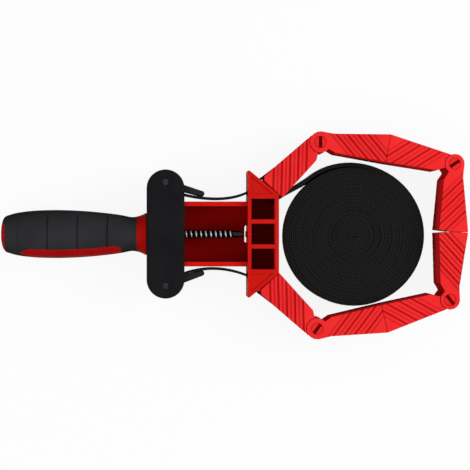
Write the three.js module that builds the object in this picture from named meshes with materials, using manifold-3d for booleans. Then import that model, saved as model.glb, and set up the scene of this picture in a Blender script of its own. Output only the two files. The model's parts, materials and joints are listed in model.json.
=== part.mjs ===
// Band clamp: a screw handle draws a crossbar away from a head, and with it a webbing band
// that runs through four hinged corner jaws. The unused band is wound up inside the loop.
// Millimetres. X runs along the spindle from the handle to the jaws, Z is up from the bench,
// and the origin is on the bench under the middle of the head.
import * as THREE from 'three';
import { mergeVertices } from 'three/addons/utils/BufferGeometryUtils.js';
import Module from 'manifold-3d';

const wasm = await Module();
wasm.setup();

// Shared fits
const fitGap = 0.3; // between pieces that sit in or beside one another
const cutOver = 2; // how far a cutter passes the face that it cuts
const weld = 1e-4; // corners closer than this are one
const bodyHeight = 40; // of the head and of the crossbar
const axisHeight = bodyHeight / 2; // spindle axis and middle of the band over the bench
const rodSides = 16; // sides of the round pieces

// Band
const bandWidth = 25;
const bandThick = 1.5;

// Head: back plate, three pockets, slanted shoulders
const headDepth = 24.9;
const headHalfSpan = 50.8; // half the back plate's length
const headFrontHalf = 31.4; // half the front wall's length
const tipFlat = 1.4; // flat at each end of the back plate
const backPlate = 2.8;
const frontWall = 3.3;
const pocketWidth = 16.7;
const pocketRib = 3.3;
const pocketFloor = 3;
const rimWidth = 2.6; // raised rim along each shoulder
const rimDepth = 1;

// Channel that the crossbar slides on
const channelReach = 52; // from the back plate to its open end
const channelHalf = 26.1;
const channelWall = 3.7;
const channelFloor = 3;
const channelHeight = 30;
const tipSlotLength = 1.6; // slot in the channel's floor below the spindle's tip
const tipSlotHalf = 7;
const tipSlotBreak = 1; // taken off the slot's corners away from the back plate

// Boss and stud that the spindle's tip presses on
const bossRadius = 3.6;
const bossReach = 0.5;
const studRadius = 1.5;
const studHeadRadius = 2.6;
const studHeadThick = 0.5;
const studEndReach = 3.5; // how far the riveted end stands in the middle pocket

// Spindle
const tipGap = 1.4; // between the tip and the stud
const tipLength = 9.15;
const tipRadius = 2.95; // the thread is turned down to this along the tip
const knobLength = 2.4; // plain end of the tip
const knobRadius = 2.4;
const neckLength = 0.8; // undercut between the tip's thread and its plain end
const neckRadius = 1.9;
const threadLead = 4;
const threadRoot = 2.6;
const threadCrest = 4.35;
const threadCrestWidth = 0.9; // width of the thread's crest
const threadSteps = 10; // per turn
const shankReach = 45; // how deep the spindle sits in the handle

// Crossbar covers
const crossbarWidth = 30.4;
const crossbarLength = 103.6;
const coverWall = 2.8;
const coverBevel = 2.4;
const bevelSteps = 2;
const endSides = 24; // of each round end
const channelLap = 1.25; // the channel's end lies this far inside the crossbar
const windowHalf = 45.5; // half the length of the opening for channel, bands and levers
const windowMargin = 1; // over and under the levers in that opening
const spindleHole = 5.6;
const screwSpan = 41.7; // from the spindle axis to each screw
const screwRadius = 1.5;
const screwHeadRadius = 2.6;
const screwHeadThick = 1.4;
const screwSlotWidth = 0.8;
const screwSlotDepth = 0.7;
const screwBoss = 3.6;

// Yoke and nut in the crossbar
const yokePlate = 2.5;
const yokeArmThick = 1.4;
const yokeArmReach = 25;
const yokeArmHeight = 26;
const yokeSideGap = 0.7; // beside the sliding channel
const nutLength = 13.6;
const nutHalf = 8;
const nutCollar = 6;
const threadGap = 0.35; // around the thread's crest

// Release levers
const leverInset = 7; // levers end this far inside the crossbar's top and underside
const leverHeight = bodyHeight - 2 * leverInset;
const leverReach = 25.9; // from its pin to the end of its tail
const leverCam = 4.1;
const leverPinRadius = 2;
const leverPinIn = 9.8; // from the crossbar's face to the pins
const leverRootOut = 3.9; // outer side of the tail where it leaves the crossbar
const leverRootIn = 1.1;
const leverTipOut = 0.3; // outer side of the tail at its end
const leverTipIn = 4.2;
const leverTipRound = 1.3;

// Lever return springs
const springWire = 0.9;
const springRadius = 3.1;
const springTurns = 2.25;
const springPitch = 1.15;
const springSteps = 8; // per turn
const springSides = 5;

// Handle
const gripLength = 108;
const gripRadius = 19.4;
const coreRadius = 12;
const buttLength = 3.4;
const collarLength = 6.4;
const collarRadius = 17;
const grooveWidth = 1.7;
const grooveDepth = 0.8;
const grooveSpan = 16; // the grip's grooves end this far beside the axis
const stripWidth = 11.6;
const stripPoint = 8; // length of the strip's pointed end
const stripEndTaper = 5;
const gripSteps = 11;
const stripTurn = 58; // degrees from the top of the handle to the strip's middle
const stripProud = 0.15;
const handleSides = 24;

// Radius of the grip as shares of its largest, at shares of its length
const gripShares = [
  [0, 0.755], [0.078, 0.88], [0.198, 0.969], [0.318, 1], [0.438, 1], [0.6, 0.959],
  [0.76, 0.876], [0.87, 0.794], [0.92, 0.737], [0.955, 0.709], [1, 0.735],
];
const grooveShares = [0.322, 0.546, 0.769];
const buttShares = [[0, 0.3], [0.35, 0.46], [1, 0.58]];
const collarShares = [[0, 0.85], [0.35, 0.9], [0.7, 0.965], [0.88, 1], [1, 0.985]];
const stripShares = [0.109, 0.872]; // start and end of the strip along the grip

// Jaw arms
const armLength = 54.45; // from the hinge pin to the arm's end
const endArmTrim = 1.75; // the arms beside the head are shorter by this
const armHeight = 38;
const plateThick = 3;
const wallThick = 2.5;
const headDisc = 8.6; // fork discs at the corners beside the head
const farDisc = 7.8; // and at the far corners
const tongueOut = 6; // outer side of the far tongues beside their pins
const barrelRadius = 4.6; // tongue's knuckle
const pinRadius = 2.5;
const pinHeadRadius = 4.4;
const pinHeadThick = 1.6;
const pinSlotWidth = 1.9;
const pinSlotDepth = 1.2;
const neckReach = 10.2; // from the pin to the plate's neck
const neckOut = 7.6;
const wedgeNeckOut = 6.9; // of the arms beside the wedge
const neckIn = 8.4;
const forkNeckIn = 7.6; // of the forks at the corners beside the head
const notchReach = 7.2; // the inner notch beside the knuckle
const notchIn = 4.9;
const notchEnd = 12.6;
const jawPlay = 0.4; // between fork discs and tongue
const endOut = 11.1; // half widths at the arm's end
const wedgeOut = 11.9; // beside the wedge
const endIn = 11.4;
const endBreak = 4; // the end's face changes its slant this far out from the middle
const wedgeBreak = -1.4; // and beside the wedge between the fourth and fifth arms
const endChamfer = 2.6;
const slotPlay = 0.45; // beside the band in its slots
const wrapSteps = 6; // of the band round a knuckle
const bandInset = 1.1; // middle of the band, in from the plates' outer edge at the end
const headBandOut = 0.3; // and out from that edge on the arms beside the head
const endNose = 0.8; // the arms beside the head reach past their meeting points by this
const groovePitch = 9.2; // along the arm, from one deep groove to the next
const deepGroove = { width: 1.4, depth: 0.8 };
const shallowGroove = { width: 0.9, depth: 0.35 }; // midway between two deep ones
const forkGroove = 19.3; // from the pin to the first deep groove of an arm with a fork
const tongueGroove = 20; // of an arm with a tongue
const headGroove = 15.4; // of an arm beside the head
const grooveTurn = 45; // degrees from the arm's length
const pinSlotTurns = [90, 34, -52, 53]; // headings of the slots in the four pins
const leadCutback = 15; // inner wall of the arms beside the head stops short by this
const jawGap = 0.3; // between the ends of neighbouring arms
const shoulderGap = 1.5; // between a shoulder and the arm's end

// Headings of the first five arms round the loop, in degrees from +X
const firstHeading = 43.5;
const secondHeading = -5.1;
const jawBend = 8.1; // where two jaws meet
const fourthHeading = -91.3;
const fifthHeading = -92.6;
const endArmTilt = 3.4; // slant of the end beside the head
const openTilt = 6.3; // slant that leaves the wedge between the fourth and fifth arms
// Where the arms beside the head meet the shoulders, as shares of the shoulder's length
const upperMeetShare = 0.75;
const lowerMeetShare = 0.64;

// Free band between crossbar and head
const slotOut = 33.6; // from the axis to the band's slot in the back plate
const bandRunIn = 7.4; // straight end of the band inside the crossbar, from its back wall
const bandFlare = 1.3; // the band spreads outwards by this at the crossbar's face
const flareRun = 6;
const upperDip = 2.8; // how far each stretch dips towards the channel
const lowerDip = 4.8;
const dipRun = 19; // run of the curve at the crossbar
const dipArrive = 15; // and at the head
const arriveTurn = 24; // degrees of its heading at the head
const freeSteps = 10;
const stretchGap = 0.8; // between the free stretch and the bands at its ends

// Stored band, wound double from its fold
const coilPitch = 3.07;
const coilThick = 2.5; // two layers of band
const coilCore = 1.8; // radius of the strip's middle where it starts
const coilSteps = 24; // per turn
const coilGap = 3.6; // between the head and the coil
const coilSide = -1.3; // middle of the coil beside the axis
const coilRoom = 2; // left between the coil and the arms beside it
const leadSlotIn = 5.4; // how far the lead goes into the head's corner
const leadDrop = 2.2; // below the front wall's end
const leadSteps = 5; // the lead rises evenly over its straight run to the band's height

const turnOf = (degrees) => THREE.MathUtils.degToRad(degrees);
const flat = (x, y) => new THREE.Vector2(x, y);
const headingOf = (degrees) => flat(Math.cos(turnOf(degrees)), Math.sin(turnOf(degrees)));

const model = new THREE.Group();

// Finishes
const finish = (color, roughness, metalness = 0) => ({ color, roughness, metalness });
const redPlastic = finish('#ee2b30', 0.42);
const redCasting = finish('#dd1b10', 0.4);
const blackPlastic = finish('#1e1f22', 0.5);
const leverPlastic = finish('#26282a', 0.45);
const softGrip = finish('#2f2f33', 0.7);
const webbing = finish('#1b1b1b', 0.85);
const blackSteel = finish('#232425', 0.35, 0.7);
const zincSteel = finish('#b9bcbe', 0.35, 0.9);
const brass = finish('#b08a3e', 0.35, 0.9);

// A geometry's shared corners are merged, empty faces dropped and the faces turned outwards
function closed(geometry) {
  geometry.deleteAttribute('normal');
  geometry.deleteAttribute('uv');
  const merged = mergeVertices(geometry, weld);
  const corner = [new THREE.Vector3(), new THREE.Vector3(), new THREE.Vector3()];
  const faces = [];
  let volume = 0;
  for (let i = 0; i < merged.index.count; i += 3) {
    const ids = corner.map((point, k) => merged.index.getX(i + k));
    if (new Set(ids).size < corner.length) continue;
    corner.forEach((point, k) => point.fromBufferAttribute(merged.attributes.position, ids[k]));
    volume += corner[0].dot(corner[1].cross(corner[2]));
    faces.push(ids);
  }
  if (volume < 0) faces.forEach((ids) => ids.reverse());
  merged.setIndex(faces.flat());
  return merged;
}

function solid(geometry) {
  const body = closed(geometry);
  return new wasm.Manifold(new wasm.Mesh({
    numProp: 3,
    vertProperties: body.attributes.position.array,
    triVerts: Uint32Array.from(body.index.array),
  }));
}

function geometryOf(body) {
  const mesh = body.getMesh();
  const geometry = new THREE.BufferGeometry();
  geometry.setAttribute('position', new THREE.BufferAttribute(mesh.vertProperties, 3));
  geometry.setIndex(new THREE.BufferAttribute(mesh.triVerts, 1));
  return geometry;
}

const join = (first, ...rest) => rest.reduce((whole, piece) => whole.add(piece), first);
const cut = (first, ...rest) => rest.reduce((whole, piece) => whole.subtract(piece), first);

// Adds one named piece to the model, or to a group in it
function piece(name, body, look, parent = model) {
  const geometry = body.isBufferGeometry ? closed(body) : geometryOf(body);
  const faceted = geometry.toNonIndexed();
  faceted.computeVertexNormals();
  const mesh = new THREE.Mesh(faceted, new THREE.MeshStandardMaterial(look));
  mesh.name = name;
  parent.add(mesh);
  return mesh;
}

function block(lowX, highX, lowY, highY, lowZ, highZ) {
  const geometry = new THREE.BoxGeometry(highX - lowX, highY - lowY, highZ - lowZ);
  return solid(geometry.translate((lowX + highX) / 2, (lowY + highY) / 2, (lowZ + highZ) / 2));
}

function prism(points, lowZ, highZ) {
  const shape = points instanceof THREE.Shape ? points : new THREE.Shape(points);
  const geometry = new THREE.ExtrudeGeometry(shape, { depth: highZ - lowZ, bevelEnabled: false });
  return solid(geometry.translate(0, 0, lowZ));
}

function post(radius, x, y, lowZ, highZ, sides = rodSides) {
  const geometry = new THREE.CylinderGeometry(radius, radius, highZ - lowZ, sides);
  return solid(geometry.rotateX(Math.PI / 2).translate(x, y, (lowZ + highZ) / 2));
}

function rod(radius, lowX, highX, sides = rodSides) {
  const geometry = new THREE.CylinderGeometry(radius, radius, highX - lowX, sides);
  return solid(geometry.rotateZ(Math.PI / 2).translate((lowX + highX) / 2, 0, axisHeight));
}

const onAxis = (stations) => [[stations[0][0], 0], ...stations, [stations.at(-1)[0], 0]];

// A body turned about the spindle axis from [x, radius] pairs
function turned(profile, sides) {
  const points = profile.map(([x, radius]) => flat(radius, x));
  const geometry = new THREE.LatheGeometry(points, sides).rotateZ(-Math.PI / 2);
  return solid(geometry.translate(0, 0, axisHeight));
}

// A strip of band set on edge: its middle line runs through points [x, y, middle height]
function bandStrip(points, thick = bandThick) {
  const half = thick / 2;
  const corners = [];
  points.forEach(([x, y, z], i) => {
    const before = points[Math.max(i - 1, 0)];
    const after = points[Math.min(i + 1, points.length - 1)];
    const along = flat(after[0] - before[0], after[1] - before[1]).normalize();
    for (const [side, rise] of [[-1, -1], [1, -1], [1, 1], [-1, 1]]) {
      corners.push(x - along.y * half * side, y + along.x * half * side, z + rise * bandWidth / 2);
    }
  });
  const faces = [[0, 1, 2], [0, 2, 3]].map((face) => face.toReversed());
  const last = 4 * (points.length - 1);
  faces.push([last, last + 1, last + 2], [last, last + 2, last + 3]);
  for (let ring = 0; ring < last; ring += 4) {
    for (let k = 0; k < 4; k += 1) {
      const next = (k + 1) % 4;
      faces.push([ring + k, ring + next, ring + next + 4], [ring + k, ring + next + 4, ring + k + 4]);
    }
  }
  const geometry = new THREE.BufferGeometry();
  geometry.setAttribute('position', new THREE.Float32BufferAttribute(corners, 3));
  return geometry.setIndex(faces.flat());
}

// Stations along the spindle
const headBack = -headDepth / 2;
const headFront = headDepth / 2;
const crossbarRight = headBack - channelReach + channelLap;
const crossbarLeft = crossbarRight - crossbarWidth;
const crossbarMiddle = (crossbarLeft + crossbarRight) / 2;
const yokeLeft = crossbarLeft + coverWall + fitGap;
const yokeRight = yokeLeft + yokePlate;
const studFace = headBack - bossReach - fitGap - studHeadThick;
const tipEnd = studFace - tipGap;
const threadEnd = tipEnd - tipLength;
const handleRight = crossbarLeft - fitGap;

// Shoulders: the slanted faces that carry the first and last arms
const shoulderFrom = flat(headBack + tipFlat, headHalfSpan);
const shoulderTo = flat(headFront, headFrontHalf);
const shoulderLine = shoulderTo.clone().sub(shoulderFrom);
const shoulderOut = flat(-shoulderLine.y, shoulderLine.x).normalize();
const endReach = armLength - endArmTrim;

// Where an arm's middle line ends beside a shoulder; side is 1 above the spindle, -1 below
function shoulderMeet(share, side) {
  const point = shoulderFrom.clone().addScaledVector(shoulderLine, share);
  point.addScaledVector(shoulderOut, shoulderGap);
  return flat(point.x, side * point.y);
}

// The loop: corner pins 1 to 4 and the middles of the joints between jaws
const step = (from, degrees, length) => from.clone().addScaledVector(headingOf(degrees), length);
const linkLength = armLength + jawGap / 2;
const thirdHeading = secondHeading - jawBend;
const upperMeet = shoulderMeet(upperMeetShare, 1);
const lowerMeet = shoulderMeet(lowerMeetShare, -1);
const corner1 = step(upperMeet, firstHeading, endReach);
const meet12 = step(corner1, secondHeading, linkLength);
const corner2 = step(meet12, thirdHeading, linkLength);
const meet23 = step(corner2, fourthHeading, linkLength);
const corner3 = step(meet23, fifthHeading, linkLength);

// The fourth corner closes the loop: it is two links from the third and one from the head
const twoLinks = 2 * linkLength * Math.cos(turnOf(jawBend) / 2);
const closing = lowerMeet.clone().sub(corner3);
const span = closing.length();
const closingTurn = Math.acos((twoLinks ** 2 + span ** 2 - endReach ** 2) / (2 * twoLinks * span));
const toFourth = closing.angle() + closingTurn;
const corner4 = corner3.clone().add(flat(Math.cos(toFourth), Math.sin(toFourth)).multiplyScalar(twoLinks));
const sixthHeading = THREE.MathUtils.radToDeg(toFourth) + jawBend / 2;

// The band's middle line along an arm, in the arm's own frame, with the outer side at +Y
const wrapRadius = barrelRadius + fitGap + bandThick / 2;
function bandLine(reach, bandEnd) {
  const far = flat(reach, bandEnd);
  const turn = far.angle() + Math.acos(wrapRadius / far.length());
  const near = flat(Math.cos(turn), Math.sin(turn)).multiplyScalar(wrapRadius);
  return { near, far, turn };
}

// A point given in an arm's frame, as a place in the model
function fromArm(pin, heading, side, point) {
  const along = headingOf(heading);
  return pin.clone().addScaledVector(along, point.x)
    .addScaledVector(flat(-along.y, along.x), side * point.y);
}

const pinThick = pinHeadThick - fitGap;

// One jaw arm in its own frame: the pin at the origin, the end on +X, the outer side on +Y * side
function armBody({
  side, fork, trimmed, reach, bend, wedge = bend, breakAt, grooveAt, disc, outer, bandEnd,
}) {
  const at = (x, y) => flat(x, y * side);
  const discRoom = disc + jawPlay;
  const slant = Math.tan(turnOf(bend));
  const faceOut = reach + outer.end * slant;
  const faceBreak = reach + breakAt * slant;
  const faceIn = faceBreak - (breakAt + endIn) * Math.tan(turnOf(wedge));
  const outerEnd = trimmed
    ? [at(faceOut - endChamfer, outer.end), at(faceOut - endChamfer * slant, outer.end - endChamfer)]
    : [at(faceOut, outer.end)];
  const outline = [
    at(0, outer.start), ...(fork ? [at(neckReach, outer.neck)] : []),
    ...outerEnd, at(faceBreak, breakAt), at(faceIn, -endIn), at(notchEnd, -outer.inner),
    at(notchReach, -notchIn), at(0, -barrelRadius),
  ];
  const plates = [
    prism(outline, 0, plateThick), prism(outline, armHeight - plateThick, armHeight),
  ];
  const bed = bandEnd - bandThick / 2 - fitGap;
  const bedEnd = trimmed ? faceOut - endChamfer : reach;
  const outerWall = prism([
    at(0, barrelRadius), at(bedEnd, bed), at(bedEnd, bed - wallThick), at(0, barrelRadius - wallThick),
  ], 0, armHeight);
  const wallEnd = trimmed ? faceIn - leadCutback : faceIn;
  const atEnd = endIn - (endIn - outer.inner) * (faceIn - wallEnd) / (faceIn - notchEnd);
  const besideKnuckle = [
    at(notchReach, wallThick - notchIn), at(0, wallThick - barrelRadius),
    at(0, -barrelRadius), at(notchReach, -notchIn),
  ];
  const innerWall = prism([
    ...(fork ? [] : besideKnuckle), at(notchEnd, -outer.inner), at(wallEnd, -atEnd),
    at(wallEnd, wallThick - atEnd), at(notchEnd, wallThick - outer.inner),
  ], 0, armHeight);
  let body = join(outerWall, innerWall, ...plates);
  if (fork) {
    body = join(body,
      post(disc, 0, 0, 0, plateThick), post(disc, 0, 0, armHeight - plateThick, armHeight));
    body = cut(body,
      post(discRoom, 0, 0, plateThick, armHeight - plateThick),
      post(pinHeadRadius + fitGap, 0, 0, armHeight - pinHeadThick, armHeight + cutOver));
  } else {
    body = join(body, post(barrelRadius, 0, 0, 0, armHeight));
    body = cut(body,
      post(discRoom, 0, 0, -cutOver, plateThick + jawPlay),
      post(discRoom, 0, 0, armHeight - plateThick - jawPlay, armHeight + cutOver));
  }
  body = cut(body, post(pinRadius + fitGap, 0, 0, -cutOver, armHeight + cutOver));
  return cut(
    body,
    ...armGrooves(side, grooveAt, reach, deepGroove),
    ...armGrooves(side, grooveAt - groovePitch / 2, reach, shallowGroove),
  );
}

// Slanted grooves across both faces of an arm, from near the pin outside to the end inside
function armGrooves(side, first, reach, { width, depth }) {
  const cutters = [];
  const halfRun = endOut + endIn;
  const lean = halfRun / Math.tan(turnOf(grooveTurn));
  const halfMouth = width / 2 / Math.sin(turnOf(grooveTurn));
  for (let middle = first; middle < reach; middle += groovePitch) {
    if (middle < notchEnd) continue;
    const outline = [
      flat(middle - lean - halfMouth, side * halfRun), flat(middle - lean + halfMouth, side * halfRun),
      flat(middle + lean + halfMouth, -side * halfRun), flat(middle + lean - halfMouth, -side * halfRun),
    ];
    cutters.push(prism(outline, -cutOver, depth));
    cutters.push(prism(outline, armHeight - depth, armHeight + cutOver));
  }
  return cutters;
}

// Arms in their order round the loop, each named by its pin, its heading from the pin to its
// end and the side that faces out of the loop
const toHead4 = THREE.MathUtils.radToDeg(lowerMeet.clone().sub(corner4).angle());
const halfTurn = 180;
const besideHead = {
  fork: false, trimmed: true, bend: endArmTilt, breakAt: endBreak, grooveAt: headGroove,
  disc: headDisc, outer: { start: headDisc, end: endOut, inner: neckIn }, bandEnd: endOut + headBandOut,
};
const forked = {
  fork: true, bend: jawBend / 2, breakAt: endBreak, grooveAt: forkGroove, disc: headDisc,
  outer: { start: headDisc, neck: neckOut, end: endOut, inner: forkNeckIn }, bandEnd: endOut - bandInset,
};
const tongued = {
  ...forked, fork: false, grooveAt: tongueGroove, disc: farDisc,
  outer: { start: tongueOut, end: endOut, inner: neckIn },
};
const besideWedge = {
  ...forked, bend: 0, wedge: openTilt, breakAt: wedgeBreak, disc: farDisc,
  outer: { start: farDisc, neck: wedgeNeckOut, end: wedgeOut, inner: neckIn },
};
const arms = [
  { pin: corner1, heading: firstHeading + halfTurn, side: -1, ...besideHead },
  { pin: corner1, heading: secondHeading, side: 1, ...forked },
  { pin: corner2, heading: thirdHeading + halfTurn, side: -1, ...tongued },
  { pin: corner2, heading: fourthHeading, side: 1, ...besideWedge },
  { pin: corner3, heading: fifthHeading + halfTurn, side: -1, ...besideWedge },
  { pin: corner3, heading: sixthHeading, side: 1, ...tongued },
  { pin: corner4, heading: sixthHeading - jawBend + halfTurn, side: -1, ...forked },
  { pin: corner4, heading: toHead4, side: 1, ...besideHead },
];
const armBase = axisHeight - armHeight / 2;

for (const [i, arm] of arms.entries()) {
  arm.reach = arm.trimmed ? endReach : armLength;
  arm.line = bandLine(arm.reach, arm.bandEnd);
  const group = new THREE.Group();
  group.position.set(arm.pin.x, arm.pin.y, armBase);
  group.rotation.z = turnOf(arm.heading);
  model.add(group);
  const body = armBody(arm.trimmed ? { ...arm, reach: endReach + endNose } : arm);
  piece(`arm_${i + 1}`, body, redPlastic, group);
  const middle = armHeight / 2;
  const start = arm.line.near.clone().lerp(arm.line.far, fitGap / arm.reach);
  const strip = [start, arm.line.far].map((point) => [point.x, point.y * arm.side, middle]);
  piece(`band_arm_${i + 1}`, bandStrip(strip), webbing, group);
}

// Hinge pins and the band round each knuckle
for (const [i, pin] of [corner1, corner2, corner3, corner4].entries()) {
  const group = new THREE.Group();
  group.position.set(pin.x, pin.y, armBase);
  model.add(group);
  const head = post(pinHeadRadius, 0, 0, armHeight - pinThick, armHeight);
  const shank = post(pinRadius, 0, 0, fitGap, armHeight - pinThick / 2);
  const along = headingOf(pinSlotTurns[i]).multiplyScalar(pinHeadRadius - pinSlotWidth / 4);
  const across = flat(-along.y, along.x).setLength(pinSlotWidth / 2);
  const slot = prism([
    along.clone().add(across), along.clone().sub(across),
    along.clone().negate().sub(across), along.clone().negate().add(across),
  ], armHeight - pinSlotDepth, armHeight + cutOver);
  piece(`hinge_pin_${i + 1}`, cut(join(head, shank), slot), redPlastic, group);

  const [first, second] = arms.slice(2 * i, 2 * i + 2);
  const ends = [first, second].map((arm) => turnOf(arm.heading) + arm.side * arm.line.turn);
  const wrap = THREE.MathUtils.euclideanModulo(ends[0] - ends[1], 2 * Math.PI);
  const arc = [];
  for (let k = 0; k <= wrapSteps; k += 1) {
    const turn = ends[0] - wrap * (k / wrapSteps);
    arc.push([wrapRadius * Math.cos(turn), wrapRadius * Math.sin(turn), armHeight / 2]);
  }
  piece(`band_corner_${i + 1}`, bandStrip(arc), webbing, group);
}

// Band through the head, free band and slots, on both sides of the spindle
const bandLow = axisHeight - bandWidth / 2;
const bandHigh = axisHeight + bandWidth / 2;

// A slot for the band between two places, cut past both ends
function bandSlot(from, to, thick = bandThick) {
  const along = to.clone().sub(from);
  const across = flat(-along.y, along.x).setLength(thick / 2 + slotPlay);
  const over = along.clone().setLength(cutOver);
  const start = from.clone().sub(over);
  const end = to.clone().add(over);
  return prism([
    start.clone().add(across), start.clone().sub(across), end.clone().sub(across), end.clone().add(across),
  ], bandLow - slotPlay, bandHigh + slotPlay);
}

const level = (point, z = axisHeight) => [point.x, point.y, z];
const towards = (from, to, distance) => from.clone().add(to.clone().sub(from).setLength(distance));
const sides = { upper: 1, lower: -1 };
const headSlots = [];
const anvilOut = channelHalf + yokeSideGap + yokeArmThick;
const bandOut = anvilOut + fitGap + bandThick / 2;

for (const [label, side] of Object.entries(sides)) {
  const arm = side > 0 ? arms.at(0) : arms.at(-1);
  const armEnd = fromArm(arm.pin, arm.heading, arm.side, arm.line.far);
  const slotAt = flat(headBack, side * slotOut);
  headSlots.push(bandSlot(slotAt, armEnd));
  const throughHead = [slotAt, towards(armEnd, slotAt, fitGap)].map((point) => level(point));
  piece(`band_head_${label}`, bandStrip(throughHead), webbing);

  // In the crossbar the band lies on the yoke's arm, and its end is sewn there
  const mouth = flat(crossbarRight, side * (bandOut + bandFlare));
  const inside = [
    flat(yokeRight + bandRunIn, side * bandOut), flat(crossbarRight - flareRun, side * bandOut), mouth,
  ];
  piece(`band_end_${label}`, bandStrip(inside.map((point) => level(point))), webbing);

  const dip = side > 0 ? upperDip : lowerDip;
  const from = mouth.clone().add(flat(stretchGap, 0));
  const to = slotAt.clone().sub(flat(stretchGap, 0));
  const arrive = headingOf(arriveTurn).multiply(flat(1, side)).multiplyScalar(dipArrive);
  const curve = new THREE.CubicBezierCurve(
    from, from.clone().add(flat(dipRun, -side * dip)), to.clone().sub(arrive), to,
  );
  const free = curve.getPoints(freeSteps).map((point) => level(point));
  piece(`band_free_${label}`, bandStrip(free), webbing);
}

// Room for the stored band: the largest radius of its outer turn between the head and an arm
function coilRoomBeside({ pin, heading, side }) {
  const outwards = headingOf(heading + side * halfTurn / 2);
  const reach = flat(pin.x - headFront - coilGap, pin.y - coilSide).dot(outwards);
  return (reach - neckIn - coilRoom - coilThick / 2) / (1 + outwards.x);
}

const coilRooms = [
  coilRoomBeside(arms[1]),
  coilRoomBeside(arms[6]),
  (meet23.x - endIn - coilRoom - coilThick / 2 - headFront - coilGap) / 2,
];
const coilTurns = Math.floor((Math.min(...coilRooms) - coilCore) / coilPitch);

// Stored band: a spiral strip that leaves the coil on a straight lead to the head's corner
const coilRadius = coilCore + coilTurns * coilPitch;
const coilMiddle = flat(headFront + coilGap + coilRadius, coilSide);
const leadMouth = flat(headFront, headFrontHalf - leadDrop);
const fromMouth = coilMiddle.clone().sub(leadMouth);
const leadLength = Math.sqrt(fromMouth.lengthSq() - coilRadius ** 2);
const leadHeading = fromMouth.angle() + Math.asin(coilRadius / fromMouth.length());
const leadAlong = flat(Math.cos(leadHeading), Math.sin(leadHeading));
const leaves = leadMouth.clone().addScaledVector(leadAlong, leadLength);
const leaveTurn = leaves.clone().sub(coilMiddle).angle();
const coilLow = bandWidth / 2;
const coilPoints = [];
const coilCount = coilTurns * coilSteps;
for (let k = 0; k <= coilCount; k += 1) {
  const turn = leaveTurn - 2 * Math.PI * (coilTurns - k / coilSteps);
  const spoke = flat(Math.cos(turn), Math.sin(turn));
  const point = coilMiddle.clone().addScaledVector(spoke, coilCore + coilPitch * (k / coilSteps));
  coilPoints.push(level(point, coilLow));
}
const leadEnd = leadMouth.clone().addScaledVector(leadAlong, -leadSlotIn);
for (let k = 1; k <= leadSteps; k += 1) {
  const share = k / leadSteps;
  const rise = coilLow + (axisHeight - coilLow) * share;
  coilPoints.push(level(leaves.clone().lerp(leadMouth, share), rise));
}
coilPoints.push(level(leadEnd));
piece('band_coil', bandStrip(coilPoints, coilThick), webbing);
headSlots.push(bandSlot(leadMouth, leadEnd, coilThick));

// The coil's least gap to itself, measured on points across neighbouring turns
let leastGap = Infinity;
for (let i = 0; i < coilCount; i += 1) {
  for (let j = i + coilSteps / 2; j < Math.min(coilPoints.length, i + 2 * coilSteps); j += 1) {
    for (const share of [0, 1 / 2]) {
      const [here, next] = [coilPoints[i], coilPoints[i + 1]];
      const x = here[0] + (next[0] - here[0]) * share - coilPoints[j][0];
      const y = here[1] + (next[1] - here[1]) * share - coilPoints[j][1];
      leastGap = Math.min(leastGap, Math.hypot(x, y) - coilThick);
    }
  }
}
console.log(`least gap between turns of the stored band: ${leastGap.toFixed(2)} mm`);

// Head and channel, one casting
const pocketEdge = pocketWidth / 2;
const pocketStep = pocketWidth + pocketRib;
const channelEnd = headBack - channelReach;
const channelBase = axisHeight - channelHeight / 2;
let head = prism([
  flat(headBack, -headHalfSpan), flat(headBack + tipFlat, -headHalfSpan), flat(headFront, -headFrontHalf),
  flat(headFront, headFrontHalf), flat(headBack + tipFlat, headHalfSpan), flat(headBack, headHalfSpan),
], 0, bodyHeight);
for (const row of [-1, 0, 1]) {
  head = cut(head, block(
    headBack + backPlate, headFront - frontWall,
    row * pocketStep - pocketEdge, row * pocketStep + pocketEdge, pocketFloor, bodyHeight + cutOver,
  ));
}
// Triangular ends are sunk a little, which leaves a rim along each shoulder
const rimIn = rimWidth / Math.cos(shoulderLine.angle());
const endInner = pocketStep + pocketEdge + pocketRib;
const backInner = headBack + backPlate;
const rimSlope = -shoulderLine.y / shoulderLine.x;
const rimTop = headHalfSpan - rimIn - (backPlate - tipFlat) * rimSlope;
for (const side of [-1, 1]) {
  const sunk = [
    flat(backInner, side * endInner), flat(backInner + (rimTop - endInner) / rimSlope, side * endInner),
    flat(backInner, side * rimTop),
  ];
  const highSunk = prism(sunk, bodyHeight - rimDepth, bodyHeight + cutOver);
  head = cut(head, prism(sunk, -cutOver, rimDepth), highSunk);
}
const slotLeft = headBack - tipSlotLength;
const tipSlot = [
  flat(headBack, -tipSlotHalf), flat(headBack, tipSlotHalf), flat(slotLeft + tipSlotBreak, tipSlotHalf),
  flat(slotLeft, tipSlotHalf - tipSlotBreak), flat(slotLeft, tipSlotBreak - tipSlotHalf),
  flat(slotLeft + tipSlotBreak, -tipSlotHalf),
];
const channel = cut(
  block(channelEnd, headBack, -channelHalf, channelHalf, channelBase, channelBase + channelHeight),
  block(
    channelEnd - cutOver, headBack, channelWall - channelHalf, channelHalf - channelWall,
    channelBase + channelFloor, channelBase + channelHeight + cutOver,
  ),
  prism(tipSlot, channelBase - cutOver, channelBase + channelFloor + cutOver),
);
const boss = turned(onAxis([
  [headBack - bossReach, studHeadRadius], [headBack, bossRadius], [backInner, bossRadius],
]), rodSides);
head = join(head, channel, boss);
const studHole = rod(studRadius + fitGap, headBack - bossReach - cutOver, backInner + cutOver);
head = cut(head, ...headSlots, studHole);
piece('head_frame', head, redCasting);

// Thrust stud, riveted through the boss
const stud = join(
  rod(studHeadRadius, studFace, studFace + studHeadThick),
  rod(studRadius, studFace, backInner + studEndReach),
);
piece('thrust_stud', stud, blackSteel);

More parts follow.
